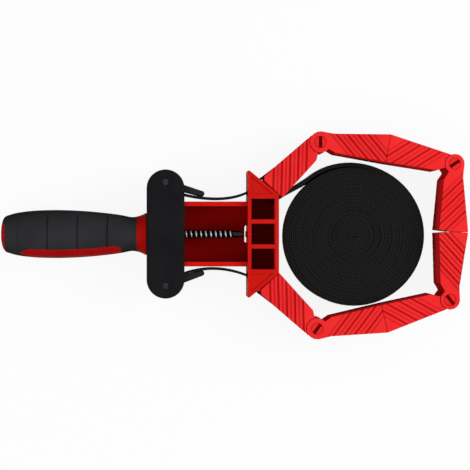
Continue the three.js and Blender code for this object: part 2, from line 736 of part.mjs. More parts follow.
// Spindle: a helical ridge whose turns share their edges, cut square at both ends
const threadProfile = [[0, threadCrest], [threadCrestWidth, threadCrest], [threadLead / 2, threadRoot]];
const threadTurns = Math.ceil((tipEnd - handleRight) / threadLead) + 1;
const rows = threadProfile.length;
const threadCorners = [];
for (let k = 0; k < rows * (threadTurns + 1); k += 1) {
  const [shift, radius] = threadProfile[k % rows];
  for (let j = 0; j < threadSteps; j += 1) {
    const turn = (2 * Math.PI * j) / threadSteps;
    const x = tipEnd + threadLead * (j / threadSteps + Math.floor(k / rows) - threadTurns) + shift;
    threadCorners.push(x, radius * Math.cos(turn), axisHeight + radius * Math.sin(turn));
  }
}
const corner = (k, j) => (j === threadSteps ? (k + rows) * threadSteps : k * threadSteps + j);
const threadFaces = [];
const ridgeRows = rows * threadTurns;
for (let k = 0; k < ridgeRows; k += 1) {
  for (let j = 0; j < threadSteps; j += 1) {
    const [a, b, c, d] = [corner(k, j), corner(k, j + 1), corner(k + 1, j + 1), corner(k + 1, j)];
    threadFaces.push([a, b, c], [a, c, d]);
  }
}
// Each end closes in a fan round a point on the axis
const fans = [[0, 1], [ridgeRows, -1]];
for (const [row, way] of fans) {
  const middle = threadCorners.length / 3;
  threadCorners.push(threadCorners[3 * corner(row, 0)] + threadLead / 2, 0, axisHeight);
  const rim = [];
  for (let j = 0; j <= threadSteps; j += 1) rim.push(corner(row, j));
  for (let k = rows - 1; k >= 0; k -= 1) rim.push(corner(row + k, 0));
  for (let i = 0; i + 1 < rim.length; i += 1) {
    threadFaces.push(way > 0 ? [middle, rim[i + 1], rim[i]] : [middle, rim[i], rim[i + 1]]);
  }
}
const thread = new THREE.BufferGeometry();
thread.setAttribute('position', new THREE.Float32BufferAttribute(threadCorners, 3));
thread.setIndex(threadFaces.flat());
const neckRight = tipEnd - knobLength;
const neckLeft = neckRight - neckLength;
const threaded = solid(thread).intersect(join(
  rod(2 * threadCrest, handleRight, threadEnd), rod(tipRadius, threadEnd - fitGap, neckLeft),
));
const spindleStart = handleRight - shankReach;
const spindle = join(
  threaded,
  rod(threadRoot, spindleStart, handleRight + fitGap, threadSteps),
  rod(neckRadius, neckLeft - fitGap, tipEnd, threadSteps),
  rod(knobRadius, neckRight, tipEnd, threadSteps),
);
piece('spindle', spindle, blackSteel);

// Crossbar: two covers round a yoke that holds the nut
function stadium(inset, lowZ, highZ, bevel) {
  const radius = crossbarWidth / 2 - inset;
  const reach = crossbarLength / 2 - crossbarWidth / 2;
  const shape = new THREE.Shape();
  shape.absarc(crossbarMiddle, reach, radius, 0, Math.PI);
  shape.absarc(crossbarMiddle, -reach, radius, Math.PI, 2 * Math.PI);
  const outline = new THREE.Shape(shape.getPoints(endSides / 2));
  if (!bevel) return prism(outline, lowZ, highZ);
  const geometry = new THREE.ExtrudeGeometry(outline, {
    depth: highZ - lowZ - 2 * bevel, bevelThickness: bevel, bevelSize: bevel, bevelOffset: -bevel,
    bevelSegments: bevelSteps,
  });
  return solid(geometry.translate(0, 0, lowZ + bevel));
}

const pinX = crossbarRight - leverPinIn;
const pinY = bandOut + bandThick / 2 + fitGap + leverCam;
const openLow = axisHeight - leverHeight / 2 - windowMargin;
const openHigh = axisHeight + leverHeight / 2 + windowMargin;
let cover = cut(
  stadium(0, 0, bodyHeight, coverBevel),
  stadium(coverWall, coverWall, bodyHeight - coverWall),
  block(crossbarMiddle, crossbarRight + cutOver, -windowHalf, windowHalf, openLow, openHigh),
  block(
    crossbarMiddle, crossbarRight + cutOver, -channelHalf - yokeSideGap, channelHalf + yokeSideGap,
    channelBase - fitGap, channelBase + channelHeight + fitGap,
  ),
  rod(spindleHole, crossbarLeft - cutOver, crossbarMiddle),
);
const screwTop = bodyHeight - screwHeadThick - fitGap;
for (const side of [-1, 1]) {
  const at = [crossbarMiddle, side * screwSpan];
  cover = join(cover, post(screwBoss, ...at, coverWall / 2, bodyHeight - coverWall / 2));
  cover = cut(
    cover,
    post(screwRadius + fitGap, ...at, coverWall / 2, bodyHeight),
    post(screwHeadRadius + fitGap, ...at, screwTop, bodyHeight + cutOver),
  );
}
const wide = crossbarLength;
const aboveParting = block(
  crossbarLeft - wide, crossbarRight + wide, -wide, wide, axisHeight + fitGap / 2, bodyHeight + wide,
);
const belowParting = block(
  crossbarLeft - wide, crossbarRight + wide, -wide, wide, -wide, axisHeight - fitGap / 2,
);
piece('crossbar_cover_top', cover.intersect(aboveParting), blackPlastic);
piece('crossbar_cover_bottom', cover.intersect(belowParting), blackPlastic);

for (const [label, side] of Object.entries(sides)) {
  const y = side * screwSpan;
  const headLow = screwTop + fitGap;
  const slot = block(
    crossbarMiddle - screwHeadRadius - cutOver, crossbarMiddle + screwHeadRadius + cutOver,
    y - screwSlotWidth / 2, y + screwSlotWidth / 2,
    headLow + screwHeadThick - screwSlotDepth, bodyHeight + cutOver,
  );
  const whole = join(
    post(screwHeadRadius, crossbarMiddle, y, headLow, headLow + screwHeadThick),
    post(screwRadius, crossbarMiddle, y, coverWall / 2 + fitGap, headLow + screwHeadThick / 2),
  );
  piece(`cover_screw_${label}`, cut(whole, slot), blackSteel);
}

const yokeHigh = bodyHeight - coverWall - fitGap;
const yokeLow = coverWall + fitGap;
const yokeArm = (side) => {
  const inner = channelHalf + yokeSideGap;
  const [lowY, highY] = [side * inner, side * (inner + yokeArmThick)].sort((a, b) => a - b);
  return block(
    yokeLeft, yokeLeft + yokeArmReach, lowY, highY,
    axisHeight - yokeArmHeight / 2, axisHeight + yokeArmHeight / 2,
  );
};
const yoke = cut(
  join(block(yokeLeft, yokeRight, -anvilOut, anvilOut, yokeLow, yokeHigh), yokeArm(1), yokeArm(-1)),
  rod(nutCollar + fitGap, yokeLeft - cutOver, yokeRight + cutOver),
);
piece('yoke', yoke, zincSteel);

const nutLeft = yokeRight + fitGap;
const nut = cut(
  join(
    block(nutLeft, nutLeft + nutLength, -nutHalf, nutHalf, axisHeight - nutHalf, axisHeight + nutHalf),
    rod(nutCollar, yokeLeft, nutLeft),
  ),
  rod(threadCrest + threadGap, yokeLeft - cutOver, nutLeft + nutLength + cutOver),
);
piece('spindle_nut', nut, brass);

// Release levers with their pins and springs
const leverLow = axisHeight - leverHeight / 2;
for (const [label, side] of Object.entries(sides)) {
  const at = (x, y) => flat(x, y * side);
  const mouthReach = leverPinIn;
  const tail = [
    at(0, leverCam), at(mouthReach, leverRootOut), at(leverReach - leverTipRound, leverTipOut),
    at(leverReach, leverTipOut - leverTipRound), at(leverReach, leverTipRound - leverTipIn),
    at(leverReach - leverTipRound, -leverTipIn), at(mouthReach, -leverRootIn), at(0, -leverCam),
  ];
  const lever = cut(
    join(prism(tail, 0, leverHeight), post(leverCam, 0, 0, 0, leverHeight)),
    post(leverPinRadius + fitGap, 0, 0, -cutOver, leverHeight + cutOver),
  );
  const mesh = piece(`lever_${label}`, lever, leverPlastic);
  mesh.position.set(pinX, side * pinY, leverLow);
  piece(`lever_pin_${label}`, post(leverPinRadius, pinX, side * pinY, yokeLow, yokeHigh), zincSteel);

  const curl = [];
  const count = springTurns * springSteps;
  const low = leverLow + leverHeight + fitGap + springWire / 2;
  for (let k = 0; k <= count; k += 1) {
    const turn = (2 * Math.PI * k) / springSteps;
    curl.push(new THREE.Vector3(
      pinX + springRadius * Math.cos(turn), side * pinY + springRadius * Math.sin(turn),
      low + (springPitch * k) / springSteps,
    ));
  }
  const wire = Array.from({ length: springSides }, (none, k) => {
    const turn = (2 * Math.PI * k) / springSides;
    return flat(Math.cos(turn), Math.sin(turn)).multiplyScalar(springWire / 2);
  });
  const spring = new THREE.ExtrudeGeometry(new THREE.Shape(wire), {
    steps: count, extrudePath: new THREE.CatmullRomCurve3(curl),
  });
  piece(`lever_spring_${label}`, spring, zincSteel);
}

// Handle: core with butt cap, collar and side strips, and a soft grip moulded over it
const gripRight = handleRight - collarLength;
const gripLeft = gripRight - gripLength;
const buttLeft = gripLeft - buttLength;
const gripCurve = new THREE.SplineCurve(
  gripShares.map(([along, radius]) => flat(gripLeft + along * gripLength, radius * gripRadius)),
);
const gripStations = gripCurve.getPoints(gripSteps).map((point) => [point.x, point.y]);

function gripRadiusAt(x) {
  const after = gripStations.findIndex(([station]) => station >= x);
  const [[x0, r0], [x1, r1]] = [gripStations[Math.max(after - 1, 0)], gripStations[after]];
  return x1 > x0 ? r0 + ((r1 - r0) * (x - x0)) / (x1 - x0) : r1;
}

// Arc grooves across the top and the underside of the grip
const gripGrooves = grooveShares.map((share) => {
  const middle = gripLeft + share * gripLength;
  const [low, high] = [middle - grooveWidth / 2, middle + grooveWidth / 2];
  const across = block(low, high, -grooveSpan, grooveSpan, 0, 2 * axisHeight);
  return cut(across, rod(gripRadiusAt(middle) - grooveDepth, low - cutOver, high + cutOver, handleSides));
});
const plainGrip = turned(onAxis(gripStations.map(([x, radius]) => [x, radius + stripProud])), handleSides);

// A strip pointed at the butt end, set round the handle from its top
function stripPrism(grow, turn) {
  const low = gripLeft + stripShares[0] * gripLength - grow;
  const high = gripLeft + stripShares[1] * gripLength + grow;
  const halfWidth = stripWidth / 2 + grow;
  const outline = [
    flat(low, 0), flat(low + stripPoint, -halfWidth), flat(high - stripEndTaper, -halfWidth),
    flat(high, -halfWidth / 2), flat(high, halfWidth / 2), flat(high - stripEndTaper, halfWidth),
    flat(low + stripPoint, halfWidth),
  ];
  const depth = gripRadius + cutOver - coreRadius / 2;
  const geometry = new THREE.ExtrudeGeometry(new THREE.Shape(outline), { depth, bevelEnabled: false });
  geometry.translate(0, 0, coreRadius / 2).rotateX(turnOf(turn)).translate(0, 0, axisHeight);
  return solid(geometry);
}

const stripTurns = [stripTurn, stripTurn + halfTurn];
const shapeOf = (shares, from, length, radius) => shares.map(
  ([along, share]) => [from + along * length, share * radius],
);
const core = join(
  turned(onAxis(shapeOf(buttShares, buttLeft, buttLength, gripRadius)), handleSides),
  rod(coreRadius, buttLeft + buttLength / 2, gripRight + collarLength / 2, handleSides),
  turned(onAxis(shapeOf(collarShares, gripRight, collarLength, collarRadius)), handleSides),
  ...stripTurns.map((turn) => stripPrism(0, turn).intersect(plainGrip)),
);
const spindleBore = rod(threadRoot + fitGap, spindleStart - fitGap, handleRight + cutOver);
piece('handle_core', cut(core, spindleBore), redPlastic);
const grip = cut(
  turned(onAxis(gripStations), handleSides),
  rod(coreRadius + fitGap, gripLeft - cutOver, gripRight + cutOver, handleSides),
  block(gripLeft - cutOver, gripLeft + fitGap, -gripRadius, gripRadius, 0, 2 * axisHeight),
  block(gripRight - fitGap, gripRight + cutOver, -gripRadius, gripRadius, 0, 2 * axisHeight),
  ...stripTurns.map((turn) => stripPrism(fitGap, turn)), ...gripGrooves,
);
piece('handle_grip', grip, softGrip);

export default model;
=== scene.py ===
# Looks of a screw-tensioned band clamp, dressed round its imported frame. Metres throughout.
import json
import math

import bmesh
import bpy
from mathutils import Matrix, Quaternion, Vector


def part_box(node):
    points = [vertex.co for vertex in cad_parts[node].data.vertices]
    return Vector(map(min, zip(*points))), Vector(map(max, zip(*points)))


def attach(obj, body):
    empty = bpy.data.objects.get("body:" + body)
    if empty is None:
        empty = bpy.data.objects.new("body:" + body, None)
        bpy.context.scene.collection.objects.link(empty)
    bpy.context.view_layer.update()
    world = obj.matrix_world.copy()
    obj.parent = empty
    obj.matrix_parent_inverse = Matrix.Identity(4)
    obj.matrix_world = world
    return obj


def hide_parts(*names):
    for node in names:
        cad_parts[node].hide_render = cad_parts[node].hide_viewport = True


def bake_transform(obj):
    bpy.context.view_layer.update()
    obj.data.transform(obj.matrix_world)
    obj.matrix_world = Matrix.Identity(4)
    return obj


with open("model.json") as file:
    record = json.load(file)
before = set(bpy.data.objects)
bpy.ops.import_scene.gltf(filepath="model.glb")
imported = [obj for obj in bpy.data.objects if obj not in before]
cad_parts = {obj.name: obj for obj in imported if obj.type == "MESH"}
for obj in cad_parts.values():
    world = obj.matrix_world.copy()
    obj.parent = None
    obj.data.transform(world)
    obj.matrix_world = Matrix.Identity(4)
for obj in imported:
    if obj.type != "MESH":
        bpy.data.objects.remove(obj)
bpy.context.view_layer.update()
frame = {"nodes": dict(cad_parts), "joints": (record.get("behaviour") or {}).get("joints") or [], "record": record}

MM = 0.001
AXIS = 20 * MM  # height of the spindle's axis
UP = Vector((0, 0, 1))

# Camera: straight down from over the crossbar, shifted to the middle of the photograph's frame
SENSOR = 36.0
FRAME_WIDTH = 376 * MM  # what the frame takes in, at the height of the clamp's top
FRAME_MIDDLE = -22.8 * MM  # along the spindle
CLAMP_TOP = 40 * MM
CAMERA_AT = Vector((-66 * MM, -0.8 * MM, 1400 * MM))

camera = bpy.data.objects.new("camera", bpy.data.cameras.new("camera"))
bpy.context.scene.collection.objects.link(camera)
camera.location = CAMERA_AT
camera.data.sensor_width = SENSOR
camera.data.lens = SENSOR * (CAMERA_AT.z - CLAMP_TOP) / FRAME_WIDTH
camera.data.shift_x = (FRAME_MIDDLE - CAMERA_AT.x) / FRAME_WIDTH
camera.data.clip_start = 0.01
bpy.context.scene.camera = camera
bpy.context.scene.view_settings.view_transform = "Standard"


# Materials

# Scales of the textures, per metre
DRIFT_SCALE, GLOSS_SCALE, GRAIN_SCALE = 45.0, 400.0, 2600.0  # of moulded plastic
FILM_SCALE, TURNED_SCALE = 150.0, 900.0  # of metal
PICKS_SCALE, RIBS_SCALE, FUZZ_SCALE = 120.0, 105.0, 1500.0  # of webbing

FINE_GRAIN = 0.03 * MM
DEEP_ENDS_OVER = 0.2 * MM
UPRIGHT_BELOW, LEVEL_FROM = 0.1, 0.76  # Z of a face's normal; a rounded edge, which takes a painted shade, lies between them


def linear(*levels):
    """A colour given in display levels of 0 to 255, as the shader wants it."""
    shares = [level / 255 for level in levels]
    curve = [s / 12.92 if s <= 0.04045 else ((s + 0.055) / 1.055) ** 2.4 for s in shares]
    return (*curve, 1.0)


class Look:
    """A material, with short calls for the nodes that lead to its shader."""

    def __init__(self, name, roughness, metallic=0.0, specular=0.5):
        self.material = bpy.data.materials.new(name)
        self.material.use_nodes = True
        self.tree = self.material.node_tree
        self.shader = self.tree.nodes["Principled BSDF"]
        self.shader.inputs["Roughness"].default_value = roughness
        self.shader.inputs["Metallic"].default_value = metallic
        self.shader.inputs["Specular IOR Level"].default_value = specular

    def node(self, kind, **settings):
        made = self.tree.nodes.new(kind)
        for key, value in settings.items():
            setattr(made, key, value)
        return made

    def link(self, source, target):
        self.tree.links.new(source, target)

    def place(self, kind="Object", scale=(1, 1, 1)):
        """Coordinates of the piece, stretched along its axes."""
        mapping = self.node("ShaderNodeMapping")
        mapping.inputs["Scale"].default_value = scale
        self.link(self.node("ShaderNodeTexCoord").outputs[kind], mapping.inputs["Vector"])
        return mapping.outputs["Vector"]

    def split(self, vector):
        """The X, Y and Z of a vector."""
        made = self.node("ShaderNodeSeparateXYZ")
        self.link(vector, made.inputs["Vector"])
        return made.outputs

    def noise(self, place, scale, detail=3.0):
        made = self.node("ShaderNodeTexNoise")
        made.inputs["Scale"].default_value = scale
        made.inputs["Detail"].default_value = detail
        self.link(place, made.inputs["Vector"])
        return made.outputs["Fac"]

    def wave(self, place, scale, along, distortion):
        made = self.node("ShaderNodeTexWave", bands_direction=along)
        made.inputs["Scale"].default_value = scale
        made.inputs["Distortion"].default_value = distortion
        made.inputs["Detail Scale"].default_value = 3.0
        self.link(place, made.inputs["Vector"])
        return made.outputs["Fac"]

    def spread(self, value, low, high, source_low=0.3, source_high=0.7):
        """The value's source range, moved to the range from low to high."""
        made = self.node("ShaderNodeMapRange")
        for key, level in zip(("From Min", "From Max", "To Min", "To Max"),
                              (source_low, source_high, low, high)):
            made.inputs[key].default_value = level
        self.link(value, made.inputs["Value"])
        return made.outputs["Result"]

    def math(self, operation, first, second=0.0):
        made = self.node("ShaderNodeMath", operation=operation)
        for socket, value in zip(made.inputs, (first, second)):
            if isinstance(value, (int, float)):
                socket.default_value = value
            else:
                self.link(value, socket)
        return made.outputs["Value"]

    def between(self, share, first, second):
        """A colour that is the first at a share of 0 and the second at 1."""
        made = self.node("ShaderNodeMix", data_type="RGBA")
        for key, value in (("Factor", share), ("A", first), ("B", second)):
            socket = [s for s in made.inputs if s.name == key and s.enabled][0]
            if isinstance(value, tuple):
                socket.default_value = value
            else:
                self.link(value, socket)
        return [s for s in made.outputs if s.enabled][0]

    def drifting(self, place, scale, colour, shade):
        """A tone that drifts slowly from the colour to the shade and back."""
        drift = self.noise(place, scale)
        return self.between(self.spread(drift, 0.0, 1.0), linear(*colour), linear(*shade))

    def colour(self, value):
        self.link(value, self.shader.inputs["Base Color"])

    def rough(self, value):
        self.link(value, self.shader.inputs["Roughness"])

    def bump(self, height, depth, under=None):
        made = self.node("ShaderNodeBump")
        made.inputs["Distance"].default_value = depth
        self.link(height, made.inputs["Height"])
        if under is not None:
            self.link(under, made.inputs["Normal"])
        self.link(made.outputs["Normal"], self.shader.inputs["Normal"])
        return made.outputs["Normal"]


def moulded(name, colour, shade, roughness, specular, grain=FINE_GRAIN,
            deep=None, level=AXIS, edge=None):
    """Moulded plastic: slow drift of tone, uneven gloss and a fine spark-eroded grain.

    deep is (colour, near, far): the colour that it takes within one distance of the level and has
    lost at the next: a painted shade in grooves and recesses, and on a lever's sunk face a lighter
    tone of its own. A fourth value ends it towards the level. edge is its colour on rounded edges,
    a painted shade.
    """
    look = Look(name, roughness, specular=specular)
    place = look.place()
    tone = look.drifting(place, DRIFT_SCALE, colour, shade)
    # Painted shade down grooves and recesses; on the levers' sunk faces a lighter tone of their own
    if deep:
        deep_colour, near, far, *ends = deep
        away = look.math("ABSOLUTE", look.math("SUBTRACT", look.split(place)["Z"], level))
        share = look.spread(away, 1.0, 0.0, near, far)
        for end in ends:
            started = look.spread(away, 0.0, 1.0, end, end + DEEP_ENDS_OVER)
            share = look.math("MULTIPLY", share, started)
        tone = look.between(share, tone, linear(*deep_colour))
    # Painted shade on rounded edges, whose faces are neither level nor upright
    if edge:
        normal = look.node("ShaderNodeNewGeometry").outputs["True Normal"]
        rise = look.math("ABSOLUTE", look.split(normal)["Z"])
        painted_edge_shade = look.math("MULTIPLY", look.math("GREATER_THAN", rise, UPRIGHT_BELOW),
                            look.math("LESS_THAN", rise, LEVEL_FROM))
        tone = look.between(painted_edge_shade, tone, linear(*edge))
    look.colour(tone)
    gloss = look.noise(place, GLOSS_SCALE)
    look.rough(look.spread(gloss, roughness - 0.05, roughness + 0.08))
    look.bump(look.noise(place, GRAIN_SCALE, detail=2.0), grain)
    return look.material


def metal(name, colour, shade, roughness, worn_and_highlit=None):
    """Machined metal: fine turning marks along X and a slight film of oil.

    worn is (colour, from, to): the tone that it reaches from one distance to another from the
    spindle's axis: the bright wear of a used thread's crests, and a painted highlight on them.
    """
    look = Look(name, roughness, metallic=1.0)
    marks = look.noise(look.place(scale=(6, 1, 1)), TURNED_SCALE)
    tone = look.drifting(look.place(), FILM_SCALE, colour, shade)
    # Lighter crests: wear, and a painted highlight
    if worn_and_highlit:
        worn_and_highlit_colour, start, end = worn_and_highlit
        at = look.split(look.place())
        rise = look.math("SUBTRACT", at["Z"], AXIS)
        squares = [look.math("MULTIPLY", offset, offset) for offset in (at["Y"], rise)]
        out = look.math("SQRT", look.math("ADD", *squares))
        tone = look.between(look.spread(out, 0.0, 1.0, start, end), tone, linear(*worn_and_highlit_colour))
    look.colour(tone)
    look.rough(look.spread(marks, roughness - 0.06, roughness + 0.12))
    look.bump(marks, 0.01 * MM)
    return look.material


def woven(name, colour, thread):
    """Webbing: U runs along the band and V round it, both in metres."""
    look = Look(name, roughness=0.9, specular=0.12)
    along = look.place("UV")
    picks = look.wave(along, PICKS_SCALE, "X", distortion=0.6)
    ribs = look.wave(along, RIBS_SCALE, "Y", distortion=0.4)
    weave = look.math("MULTIPLY", picks, ribs)
    fuzz = look.noise(look.place(), FUZZ_SCALE, detail=4.0)
    lit = look.math("ADD", look.math("MULTIPLY", weave, 0.7), look.math("MULTIPLY", fuzz, 0.5))
    lit = look.spread(lit, 0.0, 1.0, 0.1, 0.9)
    look.colour(look.between(lit, linear(*colour), linear(*thread)))
    look.bump(weave, 0.22 * MM, look.bump(fuzz, 0.05 * MM))
    return look.material


# Where a recess takes its deep colour, a painted shade in grooves, slots and the head's recesses
# and a lighter tone of their own on the levers' sunk faces: distances above and below the spindle's axis
JAW_GROOVES = (18.3 * MM, 18.75 * MM, 17.6 * MM)
PIN_SLOTS = (18.0 * MM, 18.8 * MM)
LEVER_FACES = (12.5 * MM, 12.8 * MM)
HEAD_RECESSES = (6 * MM, 36 * MM)  # above the bench
THREAD_CRESTS = (3.8 * MM, 4.3 * MM)  # out from the axis

# Painted shade: darker in the grooves, in a thin band round the sides just inside the top and bottom faces, and on
# the rounded edges
jaw_red = moulded("jaw_red", (250, 50, 50), (240, 42, 44), 0.5, 0.0,
                  deep=((208, 28, 32), *JAW_GROOVES), edge=(128, 10, 14))
# Painted shade: darker down in the slot and on the rounded edges
pin_red = moulded("pin_red", (246, 46, 46), (236, 38, 40), 0.5, 0.0,
                  deep=((104, 4, 6), *PIN_SLOTS), edge=(150, 14, 18))
# Painted shade: the head darkens the lower a face lies, down into its channel and pockets
head_red = moulded("head_red", (216, 31, 25), (200, 24, 18), 0.46, 0.01,
                   deep=((150, 4, 5), *HEAD_RECESSES), level=0.0)
handle_red = moulded("handle_red", (186, 18, 15), (172, 14, 12), 0.38, 0.01)
cover_black = moulded("cover_black", (31, 31, 34), (25, 25, 28), 0.5, 0.01, 0.05 * MM)
lever_black = moulded("lever_black", (30, 30, 32), (24, 24, 26), 0.42, 0.01,
                      deep=((44, 44, 47), *LEVER_FACES))
grip_black = moulded("grip_black", (53, 53, 57), (47, 47, 50), 0.6, 0.0, 0.08 * MM)
webbing_black = woven("webbing_black", (19, 19, 19), (36, 36, 36))
steel_black = metal("steel_black", (62, 62, 64), (48, 48, 50), 0.4)
# Crests lighter by wear and by a painted highlight
thread_steel = metal("thread_steel", (58, 58, 60), (34, 34, 36), 0.22,
                     worn_and_highlit=((176, 176, 178), *THREAD_CRESTS))
steel_zinc = metal("steel_zinc", (190, 192, 194), (168, 170, 174), 0.34)
nut_brass = metal("nut_brass", (196, 160, 88), (176, 138, 66), 0.34)


# Meshes

BODY_OF = {node: body for body, nodes in frame["record"]["behaviour"]["bodies"].items()
           for node in nodes}
SHARP_FROM = math.radians(38)
WELD = 0.002 * MM
FLAT_WITHIN = math.radians(0.6)
POST_SIDES = 48


def piece(name, bm, material, stands_for, body=None, sharp=SHARP_FROM):
    """Turns a bmesh into a piece that rides with the first node it stands for.

    A body of False leaves the riding to the caller.
    """
    bmesh.ops.recalc_face_normals(bm, faces=bm.faces)
    mesh = bpy.data.meshes.new(name)
    bm.to_mesh(mesh)
    bm.free()
    mesh.materials.append(material)
    mesh.shade_smooth()
    mesh.set_sharp_from_angle(angle=sharp)
    made = bpy.data.objects.new(name, mesh)
    bpy.context.scene.collection.objects.link(made)
    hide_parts(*stands_for)
    if body is not False:
        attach(made, body or BODY_OF[stands_for[0]])
    return made


def fine(node, bm, material, name=None):
    """The piece that stands for one node, shaded evenly up to its rounded edges."""
    made = piece(name or f"{node}_fine", bm, material, [node])
    weighted = made.modifiers.new("even_normals", "WEIGHTED_NORMAL")
    weighted.keep_sharp = True


def whole(node):
    """The node's own shape as a bmesh, with its facets joined into flat faces."""
    mesh = frame["nodes"][node].data.copy()
    normals = mesh.attributes.get("custom_normal")
    if normals:
        mesh.attributes.remove(normals)
    bm = bmesh.new()
    bm.from_mesh(mesh)
    bpy.data.meshes.remove(mesh)
    for face in bm.faces:
        face.smooth = False
        face.material_index = 0
    bmesh.ops.remove_doubles(bm, verts=bm.verts, dist=WELD)
    bmesh.ops.dissolve_limit(bm, angle_limit=FLAT_WITHIN, verts=bm.verts, edges=bm.edges)
    return bm


def rounded(bm, edge, steps=2):
    """The bmesh with its sharp edges rounded."""
    edges = [e for e in bm.edges if len(e.link_faces) == 2 and e.calc_face_angle() > SHARP_FROM]
    bmesh.ops.bevel(bm, geom=edges, offset=edge, offset_type="OFFSET", segments=steps,
                    profile=0.5, affect="EDGES", clamp_overlap=True)
    return bm


def refined(node, material, edge, steps=2):
    """A piece in the node's own shape, with its sharp edges rounded."""
    fine(node, rounded(whole(node), edge, steps), material)


def post(radius, at, low, high):
    bm = bmesh.new()
    place = Matrix.Translation((at.x, at.y, (low + high) / 2))
    bmesh.ops.create_cone(bm, cap_ends=True, segments=POST_SIDES, radius1=radius, radius2=radius,
                          depth=high - low, matrix=place)
    return bm


def bar(length, width, at, low, high, turn=0.0):
    bm = bmesh.new()
    size = Matrix.Diagonal((length, width, high - low, 1))
    place = Matrix.Translation((at.x, at.y, (low + high) / 2)) @ Matrix.Rotation(turn, 4, "Z")
    bmesh.ops.create_cube(bm, size=1.0, matrix=place @ size)
    return bm


def loose(bm):
    """A working object, to be removed again."""
    mesh = bpy.data.meshes.new("working")
    bm.to_mesh(mesh)
    bm.free()
    made = bpy.data.objects.new("working", mesh)
    bpy.context.scene.collection.objects.link(made)
    return made


def worked(bm, *steps):
    """The bmesh after steps of (operation, bmesh): "UNION" or "DIFFERENCE"."""
    base = loose(bm)
    tools = [loose(tool) for _, tool in steps]
    for (operation, _), tool in zip(steps, tools):
        change = base.modifiers.new("step", "BOOLEAN")
        change.operation, change.object, change.solver = operation, tool, "EXACT"
    result = bmesh.new()
    result.from_object(base, bpy.context.evaluated_depsgraph_get())
    for used in (base, *tools):
        mesh = used.data
        bpy.data.objects.remove(used)
        bpy.data.meshes.remove(mesh)
    return result


def add(bm, other):
    """Adds another bmesh to the first as a shell of its own."""
    mesh = bpy.data.meshes.new("shell")
    other.to_mesh(mesh)
    other.free()
    bm.from_mesh(mesh)
    bpy.data.meshes.remove(mesh)


def skinned(bm, rings):
    """The bmesh with faces between its rings of points, and over both ends."""
    for here, after in zip(rings, rings[1:]):
        for k in range(len(here)):
            bm.faces.new((here[k], here[k - 1], after[k - 1], after[k]))
    for ring in (rings[0], rings[-1]):
        bm.faces.new(ring)
    return bm


def lathe(stations, radius_at, sides):
    """A closed body round the spindle's axis; radius_at takes x and the angle from +Y."""
    bm = bmesh.new()
    turns = [2 * math.pi * k / sides for k in range(sides)]
    rings = []
    for x in stations:
        ring = []
        for turn in turns:
            radius = radius_at(x, turn)
            ring.append(bm.verts.new((x, radius * math.cos(turn), AXIS + radius * math.sin(turn))))
        rings.append(ring)
    return skinned(bm, rings)


def through(pairs):
    """A function that runs straight between (place, value) pairs."""
    def value(x):
        for (x0, v0), (x1, v1) in zip(pairs, pairs[1:]):
            if x <= x1:
                return v0 + (v1 - v0) * max(x - x0, 0.0) / (x1 - x0)
        return pairs[-1][1]
    return value


def eased(pairs, x):
    """A soft curve through (place, value) pairs."""
    last = len(pairs) - 2
    for k, ((x0, v0), (x1, v1)) in enumerate(zip(pairs, pairs[1:])):
        if x <= x1 or k == last:
            before, after = pairs[max(k - 1, 0)], pairs[min(k + 2, last + 1)]
            lean0 = (v1 - before[1]) / (x1 - before[0])
            lean1 = (after[1] - v0) / (after[0] - x0)
            t, run = (x - x0) / (x1 - x0), x1 - x0
            return (v0 * (2 * t ** 3 - 3 * t ** 2 + 1) + run * lean0 * (t ** 3 - 2 * t ** 2 + t)
                    + v1 * (3 * t ** 2 - 2 * t ** 3) + run * lean1 * (t ** 3 - t ** 2))


def steps_between(low, high, step):
    count = max(1, round((high - low) / step))
    return [low + (high - low) * k / count for k in range(count + 1)]


def smooth(share):
    share = min(max(share, 0.0), 1.0)
    return share * share * (3 - 2 * share)


# Jaws
ARM_EDGE = 0.3 * MM
for k in (1, 2, 3, 5, 6, 7, 8):
    refined(f"arm_{k}", jaw_red, ARM_EDGE, 1)

# The arm on one side of the far joint has a rib on its end, which closes the wedge's narrow part
RIB_LENGTH, RIB_PROUD, RIB_ROOT = 9 * MM, 0.22 * MM, 0.8 * MM
RIB_BACK, RIB_IN = 0.3 * MM, 3 * MM  # from the arm's tip, and from its top and bottom
arm_low, arm_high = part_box("arm_4")
rib_at = Vector((arm_high.x - RIB_BACK - RIB_LENGTH / 2, arm_low.y + (RIB_ROOT - RIB_PROUD) / 2))
rib = bar(RIB_LENGTH, RIB_PROUD + RIB_ROOT, rib_at, arm_low.z + RIB_IN, arm_high.z - RIB_IN)
fine("arm_4", rounded(worked(whole("arm_4"), ("UNION", rib)), ARM_EDGE, 1), jaw_red)

# Hinge pins: a slotted head over a shank
PIN_HEAD, PIN_SHANK, PIN_THICK, PIN_EDGE = 4.4 * MM, 2.5 * MM, 1.3 * MM, 0.2 * MM
SLOT_WIDTH, SLOT_DEPTH = 2.6 * MM, 1.1 * MM
SLOT_HEADINGS = (90, 34, -52, 53)  # degrees, as the photograph shows them
for k, heading in enumerate(SLOT_HEADINGS, 1):
    low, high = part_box(f"hinge_pin_{k}")
    at = (low + high) / 2
    slot_cutter = bar(2 * PIN_HEAD + MM, SLOT_WIDTH, at, high.z - SLOT_DEPTH, high.z + MM,
                      math.radians(heading))
    pin = worked(post(PIN_HEAD, at, high.z - PIN_THICK, high.z),
                 ("UNION", post(PIN_SHANK, at, low.z, high.z - PIN_THICK / 2)),
                 ("DIFFERENCE", slot_cutter))
    fine(f"hinge_pin_{k}", rounded(pin, PIN_EDGE), pin_red)

